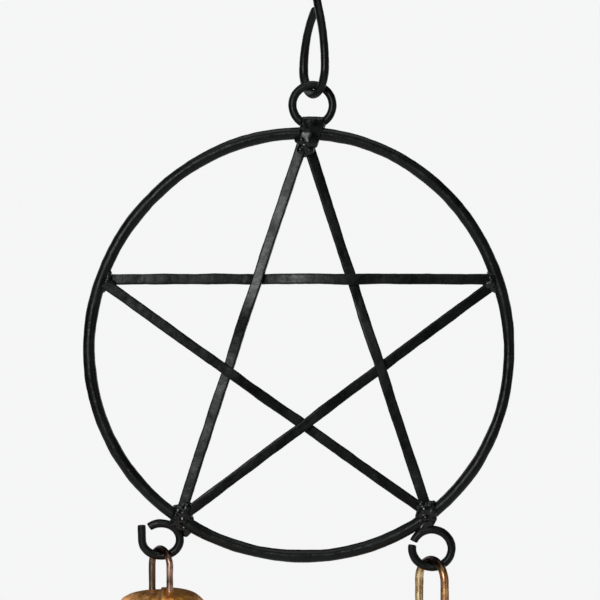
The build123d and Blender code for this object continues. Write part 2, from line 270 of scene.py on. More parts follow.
class Surface:
    """A node material under construction, in the object's own coordinates."""

    def __init__(self, name):
        self.material = bpy.data.materials.new(name)
        self.material.use_nodes = True
        self.tree = self.material.node_tree
        self.shader = self.tree.nodes["Principled BSDF"]
        self.place = self.tree.nodes.new("ShaderNodeTexCoord").outputs["Object"]

    def node(self, kind, **settings):
        """A node of that kind with its settings."""
        made = self.tree.nodes.new(kind)
        for key, value in settings.items():
            setattr(made, key, value)
        return made

    def link(self, source, target):
        """A link from an output to an input."""
        self.tree.links.new(source, target)

    def cloud(self, size, detail=4.0, rough=0.55, warp=0.0):
        """Noise from 0 to 1 with lumps of about that size."""
        made = self.node("ShaderNodeTexNoise")
        made.inputs["Scale"].default_value = 1.0 / size
        made.inputs["Detail"].default_value = detail
        made.inputs["Roughness"].default_value = rough
        made.inputs["Distortion"].default_value = warp
        self.link(self.place, made.inputs["Vector"])
        return made.outputs["Fac"]

    def cells(self, size, feature="F1"):
        """Cell noise with cells of about that size."""
        made = self.node("ShaderNodeTexVoronoi", feature=feature)
        made.inputs["Scale"].default_value = 1.0 / size
        self.link(self.place, made.inputs["Vector"])
        return made.outputs["Distance"]

    def spread(self, value, low, high, to_low=0.0, to_high=1.0):
        """A value's range from low to high eased into another range."""
        made = self.node("ShaderNodeMapRange", interpolation_type="SMOOTHSTEP")
        self.link(value, made.inputs["Value"])
        for key, number in zip(("From Min", "From Max", "To Min", "To Max"),
                               (low, high, to_low, to_high)):
            made.inputs[key].default_value = number
        return made.outputs["Result"]

    def along(self, axis):
        """Distance from the object's origin along one axis, in metres."""
        made = self.node("ShaderNodeSeparateXYZ")
        self.link(self.place, made.inputs["Vector"])
        return made.outputs[axis]

    def sum(self, first, second, operation="ADD"):
        """Two values put together by a math operation."""
        made = self.node("ShaderNodeMath", operation=operation)
        self.link(first, made.inputs[0])
        if isinstance(second, (int, float)):
            made.inputs[1].default_value = second
        else:
            self.link(second, made.inputs[1])
        return made.outputs[0]

    def blend(self, share, first, second):
        """One colour fading into another by a share."""
        made = self.node("ShaderNodeMix", data_type="RGBA")
        self.link(share, made.inputs["Factor"])
        for socket, colour in ((made.inputs[6], first), (made.inputs[7], second)):
            if isinstance(colour, tuple):
                socket.default_value = (*colour, 1.0)
            else:
                self.link(colour, socket)
        return made.outputs[2]

    def relief(self, layers):
        """Bumps, one on top of the other, from rows of (value, depth in metres)."""
        previous = None
        for value, depth in layers:
            made = self.node("ShaderNodeBump")
            made.inputs["Strength"].default_value = 1.0
            made.inputs["Distance"].default_value = depth
            self.link(value, made.inputs["Height"])
            if previous:
                self.link(previous, made.inputs["Normal"])
            previous = made.outputs["Normal"]
        self.link(previous, self.shader.inputs["Normal"])

    def finish(self, colour, roughness, **constants):
        """The shader's colour and roughness, and its constant sockets."""
        self.link(colour, self.shader.inputs["Base Color"])
        self.link(roughness, self.shader.inputs["Roughness"])
        for key, value in constants.items():
            self.shader.inputs[key.replace("_", " ")].default_value = value
        return self.material


def black_paint(name, sheen_low, sheen_high, speckle, grain, specular):
    """Black stove paint over forged iron: uneven gloss, pits, and grey where it has worn thin.

    The roughness runs from sheen_low to sheen_high, speckle is the share of grey in worn
    places, and grain deepens the bumps.
    """
    s = Surface(name)
    broad, fine, worn = s.cloud(9 * MM), s.cloud(1.3 * MM, 5), s.cloud(3.5 * MM, 6, 0.65)
    colour = s.blend(s.spread(broad, 0.35, 0.7), PAINT_DEEP, PAINT_THIN)
    colour = s.blend(s.spread(worn, 0.60, 0.74, 0, speckle), colour, PAINT_WORN)
    roughness = s.spread(s.sum(broad, s.sum(fine, 0.5, "MULTIPLY")), 0.45, 1.05,
                         sheen_low, sheen_high)
    s.relief([(broad, 0.4 * MM * grain), (fine, 0.08 * MM * grain),
              (s.cells(0.8 * MM), 0.025 * MM * grain)])
    return s.finish(colour, roughness, Specular_IOR_Level=specular)


def weld_paint():
    """The same paint over weld metal, with fewer and brighter specks, which are painted glints."""
    s = Surface("black_weld")
    lumps, grit = s.cloud(2.4 * MM, 3, 0.45), s.cells(1.2 * MM, "SMOOTH_F1")
    colour = s.blend(s.spread(lumps, 0.4, 0.62), WELD_DEEP, WELD_THIN)
    # Painted glints: bright specks over the weld.
    colour = s.blend(s.spread(s.cloud(1.5 * MM, 2), 0.72, 0.80), colour, WELD_GLINT)
    roughness = s.spread(lumps, 0.3, 0.7, 0.20, 0.40)
    s.relief([(lumps, 0.13 * MM), (grit, 0.012 * MM)])
    return s.finish(colour, roughness, Specular_IOR_Level=0.30)


def bell_brass():
    """Brass brazed on to iron sheet: mottled gold, copper patches and dark scale, with a dark line
    along the seams that is painted shade at the lap's step and dirt."""
    s = Surface("bell_brass")
    broad, flow = s.cloud(11 * MM, 5, 0.6, 0.8), s.cloud(5 * MM, 6, 0.65, 1.6)
    fine = s.cloud(1.1 * MM, 5)
    scale = s.cloud(7 * MM, 7, 0.7, 2.0)
    seam_shade_and_dirt = s.node("ShaderNodeAttribute", attribute_name="seam").outputs["Fac"]
    colour = s.blend(s.spread(broad, 0.38, 0.62), GOLD_DEEP, GOLD_BRIGHT)
    colour = s.blend(s.spread(flow, 0.50, 0.66), colour, COPPER)
    colour = s.blend(s.spread(scale, 0.60, 0.72), colour, DARK_SCALE)
    colour = s.blend(s.spread(fine, 0.62, 0.75, 0, 0.4), colour, GOLD_FLECK)
    # The dark seam line is painted shade at the lap's step, and dirt in the seam.
    colour = s.blend(s.spread(seam_shade_and_dirt, 0.1, 0.9, 0, 0.85), colour, SEAM_SHADE_AND_DIRT)
    roughness = s.spread(s.sum(flow, s.sum(fine, 0.6, "MULTIPLY")), 0.5, 1.1, 0.24, 0.5)
    roughness = s.sum(roughness, s.spread(seam_shade_and_dirt, 0, 1, 0, 0.5))
    s.link(s.spread(seam_shade_and_dirt, 0.1, 0.9, 0.92, 0.15), s.shader.inputs["Metallic"])
    s.relief([(s.cells(6 * MM, "SMOOTH_F1"), 0.7 * MM), (flow, 0.3 * MM), (fine, 0.09 * MM)])
    return s.finish(colour, roughness)


def loop_metal(hand):
    """A loop's bent wire: each leg has its own tone, with brown scale where the arch rubs."""
    s = Surface(f"{hand}_loop_metal")
    left, right, deep = LOOP_TONES[hand]
    lo, hi = corners(f"{hand}_bell_loop")
    streak, fine = s.cloud(4.5 * MM, 4, 0.5, 0.7), s.cloud(1.6 * MM, 3)
    middle = float(lo[0] + hi[0]) / 2
    pale = s.blend(s.spread(s.along("X"), middle - MM, middle + MM), left, right)
    colour = s.blend(s.spread(streak, 0.30, 0.60), deep, pale)
    # The scale sets in over the top third of the loop, with a ragged edge.
    ragged_height = s.sum(s.along("Z"), s.spread(streak, 0, 1, -1.5 * MM, 1.5 * MM))
    scale_foot, scale_full = float(hi[2] - 0.32 * (hi[2] - lo[2])), float(hi[2]) - 3.0 * MM
    colour = s.blend(s.spread(ragged_height, scale_foot, scale_full), colour, ARCH_SCALE)
    roughness = s.spread(fine, 0.3, 0.7, 0.28, 0.42)
    s.relief([(streak, 0.2 * MM), (fine, 0.02 * MM)])
    return s.finish(colour, roughness, Metallic=0.9)


def bare_iron():
    """The clapper's and staple's bare iron, oiled dark with some rust."""
    s = Surface("clapper_iron")
    broad, fine = s.cloud(3 * MM, 6, 0.65), s.cloud(0.7 * MM, 4)
    colour = s.blend(s.spread(broad, 0.4, 0.62), BARE_IRON, RUST)
    s.relief([(broad, 0.25 * MM), (fine, 0.09 * MM)])
    return s.finish(colour, s.spread(fine, 0.3, 0.7, 0.4, 0.65), Metallic=0.7)


IRON = black_paint("black_iron", sheen_low=0.30, sheen_high=0.48, speckle=0.45, grain=0.7,
                   specular=0.20)
BAR_IRON = black_paint("black_bar_iron", sheen_low=0.26, sheen_high=0.44, speckle=0.65,
                       grain=0.45, specular=0.16)
WELD = weld_paint()
BRASS = bell_brass()
CLAPPER_IRON = bare_iron()
LOOP_METALS = {hand: loop_metal(hand) for hand in LOOP_TONES}

# ---------------------------------------------------------------- hook

HOOK_WIRE = 2.8 * MM
HOOK_BEND = 9.0 * MM
# How far the hook's plane turns from the hoop's, in degrees.
HOOK_TURN = 66.0
# Arcs of the shank, the pinched tip and the open mouth: (radius, degrees).
SHANK_SWEEP = (42.0 * MM, 24.0)
TIP_SWEEP = (26.0 * MM, 53.0)
MOUTH_SWEEP = (20.0 * MM, 22.0)
# The middle and reach of the swollen stretch, as shares of the wire's length.
PINCH = (0.19, 0.07)
# Surface noise, here and below, is in rows of (seed, size, depth).
HOOK_DENTS = [(3, 7 * MM, 0.09 * MM), (4, 1.8 * MM, 0.05 * MM)]


def build_hook():
    """The S-hook, hand bent from round wire, with its lower tip pinched on to the shank."""
    bottom = corners("hanging_hook")[0][2] + HOOK_WIRE / 2
    tip_angle = math.radians(TIP_SWEEP[1])
    start = (TIP_SWEEP[0] * (1 - math.cos(tip_angle)) - HOOK_BEND,
             HOOK_BEND + TIP_SWEEP[0] * math.sin(tip_angle))
    lean = math.radians(SHANK_SWEEP[1])
    straight = 2 * (HOOK_BEND - SHANK_SWEEP[0] * (1 - math.cos(lean))) / math.sin(lean)
    moves = [TIP_SWEEP, (HOOK_BEND, 180.0), SHANK_SWEEP, (straight, None),
             (SHANK_SWEEP[0], -SHANK_SWEEP[1]), (HOOK_BEND, -180.0), MOUTH_SWEEP]
    trace = turtle(start, 270.0 - TIP_SWEEP[1], moves)
    points, level = upright(trace, np.array([0, 0, bottom]), HOOK_TURN)

    def swell(share):
        # The wire spreads a little where the lower bend was closed round the eye.
        return 1.05 + 0.15 * hump(share, *PINCH)

    verts, faces = sweep(points, level, circle(HOOK_WIRE / 2), scale=swell, step=0.5 * MM,
                         bevel=0.9 * MM, dents=HOOK_DENTS)
    make_piece("hanging_hook", verts, faces, IRON, "hook")


# ---------------------------------------------------------------- hoop, eye and open rings

# The hoop is bent by hand, so it is a little out of round: (waves, height, phase in degrees).
OUT_OF_ROUND = [(2, 0.26 * MM, -14.7), (3, 0.58 * MM, 36.5)]
# Where the hoop is thinnest, in degrees clockwise from its top, and how far that reaches.
THIN_TURN, THIN_REACH = 100, 16.0
HOOP_DENTS = [(11, 9 * MM, 0.20 * MM), (12, 3 * MM, 0.09 * MM), (13, 1.1 * MM, 0.035 * MM)]
EYE_DENTS = [(21, 5 * MM, 0.10 * MM), (22, 1.6 * MM, 0.05 * MM)]


def hoop_line(turn):
    """The hoop's own radius at an angle clockwise from its top."""
    return HOOP_RADIUS + sum(
        height * math.cos(math.radians(waves * turn - phase))
        for waves, height, phase in OUT_OF_ROUND
    )


def build_hoop():
    """The big hoop, drawn thin where it was bent on the right."""
    turns = np.arange(0, 360, 1.0)
    points = [polar(t, hoop_line(t)) for t in turns]

    def thin(share):
        off = (share * 360 - THIN_TURN + 180) % 360 - 180
        return 1.03 - 0.15 * hump(off, 0.0, THIN_REACH)

    verts, faces = sweep(points, FORWARD, circle(HOOP_ROD / 2, 30), scale=thin, closed=True,
                         step=0.55 * MM, dents=HOOP_DENTS)
    make_piece("hoop", verts, faces, IRON, "pendant")


def build_eye():
    """The small closed ring that the hook passes through."""
    lo, hi = corners("eye_ring")
    wire = wire_of("eye_ring")
    centre = centre_of("eye_ring")
    radius = (hi[0] - lo[0] - wire) / 2
    turns = np.radians(np.arange(0, 360, 4.0))
    points = [centre + np.array([radius * math.sin(t), 0, radius * math.cos(t)]) for t in turns]
    verts, faces = sweep(points, FORWARD, circle(wire / 2), closed=True, step=0.4 * MM,
                         dents=EYE_DENTS)
    make_piece("eye_ring", verts, faces, IRON, "pendant")


# Where the gap in each open ring begins and ends, in degrees anticlockwise from its right side,
# and the length of the straight arm at its free end.
OPEN_RINGS = {"left": (129.0, 180.0, 5.1 * MM), "right": (158.0, 169.0, 0.0)}
# How far the arm leans sideways for each unit that it rises.
ARM_LEAN = -0.03
# The wire is this much stouter than in the CAD.
RING_SWELL = 1.04
RING_DENTS = [(31, 5 * MM, 0.10 * MM), (32, 1.5 * MM, 0.05 * MM)]


def build_open_ring(hand):
    """A ring of bent wire, left open at a gap."""
    node = f"{hand}_open_ring"
    lo, hi = corners(node)
    wire = wire_of(node)
    centre = centre_of(node)
    half = (hi - lo - wire) / 2
    gap_start, gap_end, arm = OPEN_RINGS[hand]
    turns = np.radians(np.linspace(gap_end, 360 + gap_start, 120))
    points = [centre + np.array([half[0] * math.cos(t), 0, half[2] * math.sin(t)]) for t in turns]
    if arm:
        rises = np.linspace(arm, 0, 12)[:-1]
        points = [points[0] + np.array([ARM_LEAN * up, 0, up]) for up in rises] + points
    verts, faces = sweep(points, FORWARD, circle(RING_SWELL * wire / 2), step=0.4 * MM,
                         bevel=0.35 * MM, dents=RING_DENTS)
    make_piece(node, verts, faces, IRON, "pendant")


# ---------------------------------------------------------------- woven star

# The star's points, in degrees clockwise from the hoop's top.
POINTS = {"apex": 1.5, "right": 71.6, "foot_right": 142.5, "foot_left": 215.0, "left": 288.4}
# A bar's node, its front end and its back end, its roll in degrees at the start, middle and end,
# and its bow.
BARS = [
    ("star_bar_apex_to_foot_left", "apex", "foot_left", (9.0, 10.0, 9.0), 0.35 * MM),
    ("star_bar_apex_to_foot_right", "foot_right", "apex", (-3.0, 1.0, 5.0), -0.30 * MM),
    ("star_bar_left_to_right", "right", "left", (-5.0, 7.0, 2.0), 0.30 * MM),
    ("star_bar_left_to_foot_right", "left", "foot_right", (-1.0, 0.0, 3.0), 0.25 * MM),
    ("star_bar_right_to_foot_left", "foot_left", "right", (-1.0, 2.0, 5.0), -0.25 * MM),
]
BAR_WIDTH = 3.7 * MM
BAR_THICK = 2.0 * MM
BAR_CORNER = 0.42 * MM
# Shares of a bar's length: its ends inside the hoop's rod, and where it crosses its neighbours.
BAR_ENDS = (0.012, 0.988)
CROSSINGS = (0.382, 0.618)
# Where a bar starts to pass from front to back, and over what share it does so.
PASS_START, PASS_SHARE = 0.42, 0.16
# How high a bar's bumps are as a share of its bow, and how far they reach along it.
BUMP_HEIGHT, BUMP_REACH = 0.6, 0.05
# Surface noise of the bars. Each bar adds its own number to the seeds.
BAR_DENTS = [(40, 8 * MM, 0.16 * MM), (50, 2.2 * MM, 0.07 * MM), (60, 0.9 * MM, 0.025 * MM)]


def smooth_step(x):
    """A rise from 0 to 1 that eases in and out."""
    x = np.clip(x, 0, 1)
    return x * x * (3 - 2 * x)


def build_bar(index, node, front_point, back_point, rolls, bow):
    """A flat bar that runs in front at one end and behind at the other, over and under, with
    the slight twist of a hand-bent bar."""
    start, end = (polar(POINTS[p], HOOP_RADIUS) for p in (front_point, back_point))
    along, length = unit(end - start), np.linalg.norm(end - start)
    beside = np.cross(along, FORWARD)
    share = np.linspace(*BAR_ENDS, 90)
    # Each bar is bumped a little out of line where it was pressed over its neighbours.
    bump = sum(hump(share, crossing, BUMP_REACH) for crossing in CROSSINGS)
    aside = bow * (4 * share * (1 - share) - BUMP_HEIGHT * bump)
    # Between its two crossings a bar passes from the front layer to the back one.
    forward = BAR_THICK * (0.5 - smooth_step((share - PASS_START) / PASS_SHARE))
    points = start + share[:, None] * length * along + aside[:, None] * beside
    points = points + forward[:, None] * FORWARD
    # The section's second axis is beside the bar, because the path bends in depth.
    section = flat_section(BAR_WIDTH, BAR_THICK, BAR_CORNER)[:, ::-1]

    def twist(shares):
        return np.radians(np.interp(shares, (0.0, 0.5, 1.0), rolls))

    dents = [(seed + index, size, depth) for seed, size, depth in BAR_DENTS]
    verts, faces = sweep(points, beside, section, spin=twist, step=0.7 * MM, dents=dents)
    make_piece(node, verts, faces, BAR_IRON, "pendant")


# ---------------------------------------------------------------- welds

WELD_VOXEL = 0.27 * MM
# Surface noise of weld metal: coarse lumps and fine grit, as (size, depth).
WELD_LUMPS = (2.6 * MM, 0.16 * MM)
WELD_GRIT = (0.9 * MM, 0.02 * MM)


def melt(node, beads, seed, smoothings=8):
    """Round beads run together into one lump of weld metal. A bead is (place, three radii)."""
    shape = bmesh.new()
    for place, radii in beads:
        made = bmesh.ops.create_icosphere(shape, subdivisions=3, radius=1.0)["verts"]
        for v in made:
            v.co = Vector(place) + Vector([v.co[k] * radii[k] for k in range(3)])
    rough = bpy.data.meshes.new("melt")
    shape.to_mesh(rough)
    shape.free()
    lump = bpy.data.objects.new("melt", rough)
    bpy.context.scene.collection.objects.link(lump)
    remesh = lump.modifiers.new("merge", "REMESH")
    remesh.mode = "VOXEL"
    remesh.voxel_size = WELD_VOXEL
    soften = lump.modifiers.new("soften", "SMOOTH")
    soften.factor, soften.iterations = 0.5, smoothings
    merged = lump.evaluated_get(bpy.context.evaluated_depsgraph_get()).to_mesh()
    verts = np.array([v.co for v in merged.vertices])
    normals = np.array([v.normal for v in merged.vertices])
    faces = [tuple(p.vertices) for p in merged.polygons]
    bpy.data.objects.remove(lump)
    push = sum(depth * ripple(verts, seed + k, size)
               for k, (size, depth) in enumerate((WELD_LUMPS, WELD_GRIT)))
    verts = verts + normals * push[:, None]
    make_piece(node, verts, faces, WELD, "pendant")


# How unevenly corner beads lie and swell: a shift in millimetres and a range of factors.
BEAD_SHIFT = 0.12
BEAD_SWELL = (0.88, 1.12)


def hoop_axes(turn):
    """Outward and clockwise directions at an angle clockwise from the hoop's top."""
    a = math.radians(turn)
    return np.array([math.sin(a), 0, math.cos(a)]), np.array([math.cos(a), 0, -math.sin(a)])


def corner_weld(node, point, rows, seed):
    """Weld metal in the corners between the hoop and the two bars of a star point.

    rows are (along the hoop, inwards from the hoop, forward, radius) in millimetres. Each bead
    of a row is repeated behind the bars.
    """
    turn = POINTS[point]
    outwards, clockwise = hoop_axes(turn)
    origin = polar(turn, hoop_line(turn))
    rng = np.random.default_rng(seed)
    beads = []
    for along, inwards, forward, radius in rows:
        for side in (1, -1):
            jitter = rng.uniform(-BEAD_SHIFT, BEAD_SHIFT, 3) * MM
            place = (origin + along * MM * clockwise - inwards * MM * outwards
                     + side * forward * MM * FORWARD + jitter)
            beads.append((place, radius * MM * rng.uniform(*BEAD_SWELL, 3)))
    melt(node, beads, seed)


# Beads of the corner welds at a plain point, the apex and a foot: (along the hoop, inwards,
# forward, radius).
PLAIN_CORNER = [(-3.2, 1.8, 0.3, 1.1), (-1.8, 2.2, 0.7, 1.5), (0.0, 2.3, 1.1, 1.7),
                (1.8, 2.2, 0.7, 1.5), (3.2, 1.8, 0.3, 1.1), (0.0, 3.9, 0.8, 1.5)]
APEX_CORNER = [(-2.2, 2.4, 0.9, 1.6), (-1.2, 2.4, 1.6, 1.9), (1.2, 2.4, 1.6, 1.9),
               (3.0, 2.2, 0.9, 1.7), (0.0, 4.2, 1.3, 2.0), (-1.5, 6.0, 1.0, 1.7),
               (1.6, 5.9, 1.0, 1.7), (0.1, 7.2, 0.7, 1.4)]
FOOT_CORNER = [(-3.2, 1.9, 0.4, 1.4), (-2.0, 2.3, 1.0, 1.9), (0.0, 2.6, 1.5, 2.1),
               (2.0, 2.3, 1.0, 1.9), (3.2, 1.9, 0.4, 1.4), (-1.2, 0.4, 1.7, 1.8),
               (1.5, 0.2, 1.6, 1.8), (0.1, 4.8, 1.2, 1.9), (0.0, -1.6, 0.8, 1.8)]
# More weld metal fills the wedge between the hoop and each open ring.
LEFT_RING_SEAT = [(-1.6, -2.2, 0.1, 1.8), (-2.5, -2.0, 0.1, 1.7), (-3.4, -1.7, 0.1, 1.6),
                  (-4.3, -1.4, 0.0, 1.5), (-0.5, -2.4, 0.2, 1.8), (0.6, -2.6, 0.2, 1.7),
                  (-4.8, -2.2, 0.0, 1.5), (-4.9, -3.1, 0.0, 1.3)]
RIGHT_RING_SEAT = [(1.2, -1.9, 0.2, 1.8), (2.1, -1.8, 0.2, 1.8), (3.0, -1.7, 0.2, 1.8),
                   (3.9, -1.8, 0.1, 1.8), (4.8, -2.0, 0.1, 1.7), (5.6, -2.3, 0.1, 1.6),
                   (6.3, -2.8, 0.0, 1.4)]

# The weld under the eye: runs side by side and beads down each run, then the first bead's drop
# from the top of the CAD block and the spacing of the rest.
EYE_RUNS = 8
EYE_STEPS = 9
EYE_DROP = 0.9 * MM
EYE_STEP = 0.8 * MM
# The width over the runs as a share of the block's, and what each step takes off it.
EYE_SPREAD = 0.68
EYE_CLOSING = 0.02
# How far to the right the runs start, and how far each step brings them back to the left.
EYE_SHIFT = 0.5 * MM
EYE_LEAN = 0.2 * MM
# How far forward the first bead lies, what each further step adds, and for how many steps.
EYE_DEPTH = 1.0 * MM
EYE_BULGE = 0.22 * MM
EYE_BULGE_STEPS = 5
# How much less far forward a run lies for each block's width that it is off the middle.
EYE_ROUNDING = 0.6
# A run's beads: their least and greatest radius, and how much deeper and taller they are.
RUN_RADIUS = (1.12, 1.18)
RUN_BEAD = np.array([1.0, 1.3, 2.0])
# One more bead fills the middle of each run under the eye: its drop and its radii.
CORE_DROP = 1.6 * MM
CORE_BEAD = (1.4 * MM, 1.6 * MM, 1.5 * MM)


def eye_weld():
    """Runs of weld from the eye down over the hoop's front and back to the star."""
    lo, hi = corners("weld_eye")
    middle, width, top = (lo[0] + hi[0]) / 2, hi[0] - lo[0], hi[2]
    rng = np.random.default_rng(81)
    beads = []
    for run in range(EYE_RUNS):
        share = run / (EYE_RUNS - 1) - 0.5
        for step in range(EYE_STEPS):
            # The runs lean and close up a little downwards, towards the star's apex.
            spread = (EYE_SPREAD - EYE_CLOSING * step) * width
            x = middle + spread * share + EYE_SHIFT - EYE_LEAN * step
            bulge = EYE_DEPTH + EYE_BULGE * min(step, EYE_BULGE_STEPS)
            y = bulge * (1 - EYE_ROUNDING * abs(share))
            z = top - EYE_DROP - step * EYE_STEP
            for side in (1, -1):
                beads.append(((x, -side * y, z), rng.uniform(*RUN_RADIUS) * MM * RUN_BEAD))
        x = middle + EYE_SHIFT + EYE_SPREAD * width * share
        beads.append(((x, 0.0, top - CORE_DROP), CORE_BEAD))
    melt("weld_eye", beads, 82, smoothings=6)


# ---------------------------------------------------------------- bells

# Sizes of the left bell, which the right one enlarges.
BELL_SIZES = {"left": 1.0, "right": 1.25}
SHOULDER_RADIUS = 15.0 * MM
CROWN_RISE = 6.0 * MM
FLARE = 2.0 * MM
BELLY = 0.12 * MM
# Below 1, it makes the crown flatter on top and tighter at the shoulder than an ellipse.
CROWN_FLAT = 0.8
# Sizes that are the same on both bells, from here on.
SHEET = 0.9 * MM
# The radius of the lip's bead, how far the bead's top is over the lip's level, and the angle in
# radians left out at either end of the bead.
LIP_BEAD = 0.55 * MM
LIP_RAISE = 0.3 * MM
LIP_TRIM = 0.3
# The lip's edge is out of level by up to this, and its radius out of round by that share.
LIP_WAVE = 0.35 * MM
LIP_OVAL = 0.012
# How far the right half stands out over the left one, how far round the left one runs on under
# it, and the angle in radians over which the outside steps.
LAP_STEP = 0.8 * SHEET
LAP_REACH = math.radians(11.0)
LAP_EDGE = 0.08
# The dark line of a seam, painted shade at the lap's step and dirt: how far right of the step's
# middle it lies, and its half width.
SHADE_AND_DIRT_SHIFT = 0.2 * MM
SHADE_AND_DIRT_REACH = 1.5 * MM
# Surface noise of the sheet, as (size, depth).
BELL_DENTS = [(9 * MM, 0.34 * MM), (3.2 * MM, 0.14 * MM)]


def lathe(centre, rows, shape, count=176):
    """A skin turned about an upright axis. rows are (radius, height, layer); shape gives what
    to add to the radius and to the height for (angles, radius, height, layer)."""
    turns = np.linspace(0, 2 * math.pi, count, endpoint=False)
    verts, faces = [], []
    for radius, height, layer in rows:
        extra, lift = shape(turns, radius, height, layer)
        r = radius + extra
        verts.append(np.stack([centre[0] + r * np.cos(turns), centre[1] + r * np.sin(turns),
                               height + lift + 0 * turns], 1))
    for i in range(len(rows) - 1):
        for j in range(count):
            k = (j + 1) % count
            faces.append((i * count + j, (i + 1) * count + j, (i + 1) * count + k, i * count + k))
    return np.concatenate(verts), faces


def welded(verts, faces):
    """The same skin with vertices that share a place joined, as at a dome's pole or a wall's
    first and last rows."""
    shape = bmesh.new()
    made = [shape.verts.new(v) for v in verts]
    for face in faces:
        shape.faces.new([made[i] for i in face])
    bmesh.ops.remove_doubles(shape, verts=shape.verts, dist=0.002 * MM)
    bmesh.ops.recalc_face_normals(shape, faces=shape.faces)
    shape.verts.index_update()
    out = np.array([v.co for v in shape.verts])
    kept = [tuple(v.index for v in f.verts) for f in shape.faces]
    shape.free()
    return out, kept


def lap_step(turns, layer):
    """How far the lapped right half of a bell stands out, stepping at the seams in front and
    behind. Inside, the left half's edge lies a little way round under the right half."""
    off = np.abs((turns + math.pi) % (2 * math.pi) - math.pi)
    seam = math.pi / 2 - (LAP_REACH if layer == "in" else 0.0)
    return LAP_STEP * smooth_step((seam - off) / LAP_EDGE + 0.5)


def seam_shares(verts, centre):
    """How close each point of a bell is to the lapped seams, from 0 to 1."""
    turns = np.arctan2(verts[:, 1] - centre[1], verts[:, 0] - centre[0])
    reach = np.hypot(verts[:, 0] - centre[0], verts[:, 1] - centre[1])
    away = (np.abs(turns) - math.pi / 2) * reach
    return np.clip(1 - np.abs(away + SHADE_AND_DIRT_SHIFT) / SHADE_AND_DIRT_REACH, 0, 1)


def crown_rows(size, shoulder):
    """The crown's outline, out over its dome and back along the hollow."""
    wide, rise = SHOULDER_RADIUS * size, CROWN_RISE * size
    arc = [math.radians(t) for t in np.linspace(0, 90, 30)]

    def skin(turns, inset, layer):
        return [((wide - inset) * math.sin(t) ** CROWN_FLAT,
                 shoulder + (rise - inset) * max(0, math.cos(t)) ** CROWN_FLAT, layer)
                for t in turns]

    return skin(arc, 0.0, "out") + skin(arc[::-1], SHEET, "in")


def wall_rows(size, shoulder, lip):
    """The wall's outline: down the outside, round the lip's small bead and up the inside."""

    def wall(share):
        return size * (SHOULDER_RADIUS + FLARE * share**3 + BELLY * math.sin(math.pi * share))

    shares = np.linspace(0, 1, 60)
    outside = [(wall(t), shoulder - t * (shoulder - lip), "out") for t in shares]
    rim = [(wall(1) + LIP_BEAD * math.sin(t) - 0.5 * SHEET * (1 - math.cos(t)),
            lip + LIP_RAISE - LIP_BEAD * (1 - math.cos(t)), "out")
           for t in np.linspace(LIP_TRIM, math.pi - LIP_TRIM, 8)]
    inside = [(r - SHEET, z, "in") for r, z, _ in reversed(outside)]
    start = [(wall(0) - 0.5 * SHEET, shoulder, "in")]
    return start + outside + rim + inside + start


def build_bell(hand, seed):
    """A bell's crown and wall, rolled from two halves of sheet with the right one lapped over."""
    size = BELL_SIZES[hand]
    shell_lo, shell_hi = corners(f"{hand}_bell_shell")
    centre = (centre_of(f"{hand}_bell_loop")[0], 0.0)
    shoulder, lip = shell_hi[2], shell_lo[2]
    wide = SHOULDER_RADIUS * size

    def dented(turns, height):
        around = [(centre[0] + wide * math.cos(t), wide * math.sin(t), height) for t in turns]
        return sum(depth * ripple(around, seed + k, size)
                   for k, (size, depth) in enumerate(BELL_DENTS))

    def crown_shape(turns, radius, height, layer):
        lap = lap_step(turns, layer)
        # The lap lifts the top of the dome and pushes out its side, and both the lap and the
        # dents die away at the pole.
        steep = smooth_step((radius / wide - 0.80) / 0.20)
        out = lap * steep + min(1.0, radius / (0.35 * wide)) * dented(turns, height)
        return out, lap * (1 - steep) * min(1.0, radius / (0.05 * wide))

    def wall_shape(turns, radius, height, layer):
        # The mouth is pinched a little from round, and its edge is not quite level.
        down = (shoulder - height) / (shoulder - lip)
        oval = LIP_OVAL * wide * np.cos(2 * turns + seed) * down
        lift = LIP_WAVE * np.sin(turns * 2 + 1 + seed) * down
        return lap_step(turns, layer) + oval + dented(turns, height), lift

    for part, rows, shape in (("crown", crown_rows(size, shoulder), crown_shape),
                              ("shell", wall_rows(size, shoulder, lip), wall_shape)):
        verts, faces = welded(*lathe(centre, rows, shape))
        make_piece(f"{hand}_bell_{part}", verts, faces, BRASS, f"{hand}_bell",
                   seam_shares(verts, centre))


# How far a loop's plane turns from the hoop's, in degrees.
LOOP_TURN = 56.0
LOOP_WIRES = {"left": 2.4 * MM, "right": 3.0 * MM}
# The share of its thickness that a loop's wire keeps where it rubs on its ring.
LOOP_WEAR = {"left": 0.92, "right": 0.85}
# What the CAD leaves free between a loop and its ring, and the visual model takes up.
LOOP_PLAY = 0.43 * MM


def build_loop(hand, seed):
    """The bent wire that hangs a bell from its ring. Its worn arch rests on the ring."""
    node = f"{hand}_bell_loop"
    wire, worn = LOOP_WIRES[hand], LOOP_WEAR[hand]
    lo, hi = corners(node)
    half = (hi[0] - lo[0] - wire) / 2 / math.cos(math.radians(LOOP_TURN))
    arch, foot = hi[2] - wire / 2 - LOOP_PLAY - (1 - worn) * wire / 2, lo[2]
    leg = arch - half - foot
    trace = turtle((half, foot - arch), 90.0, [(leg, None), (half, 180.0), (leg, None)])
    points, level = upright(trace, np.array([(lo[0] + hi[0]) / 2, 0, arch]), LOOP_TURN)

    def wear(share):
        return 1.0 - (1 - worn) * hump(share, 0.5, 0.13)

    verts, faces = sweep(points, level, circle(wire / 2, 24), scale=wear, step=0.35 * MM,
                         dents=[(seed, 4 * MM, 0.10 * MM), (seed + 1, 1.6 * MM, 0.02 * MM)])
    make_piece(node, verts, faces, LOOP_METALS[hand], f"{hand}_bell")


# Inner sizes of the left bell, which the right one enlarges: the radius of the staple's bends
# and of the rod's eye.
STAPLE_BEND = 1.2 * MM
ROD_EYE = 2.4 * MM
# How far below the eye's top the rod's neck is, in radii of the eye.
ROD_NECK = 2.6


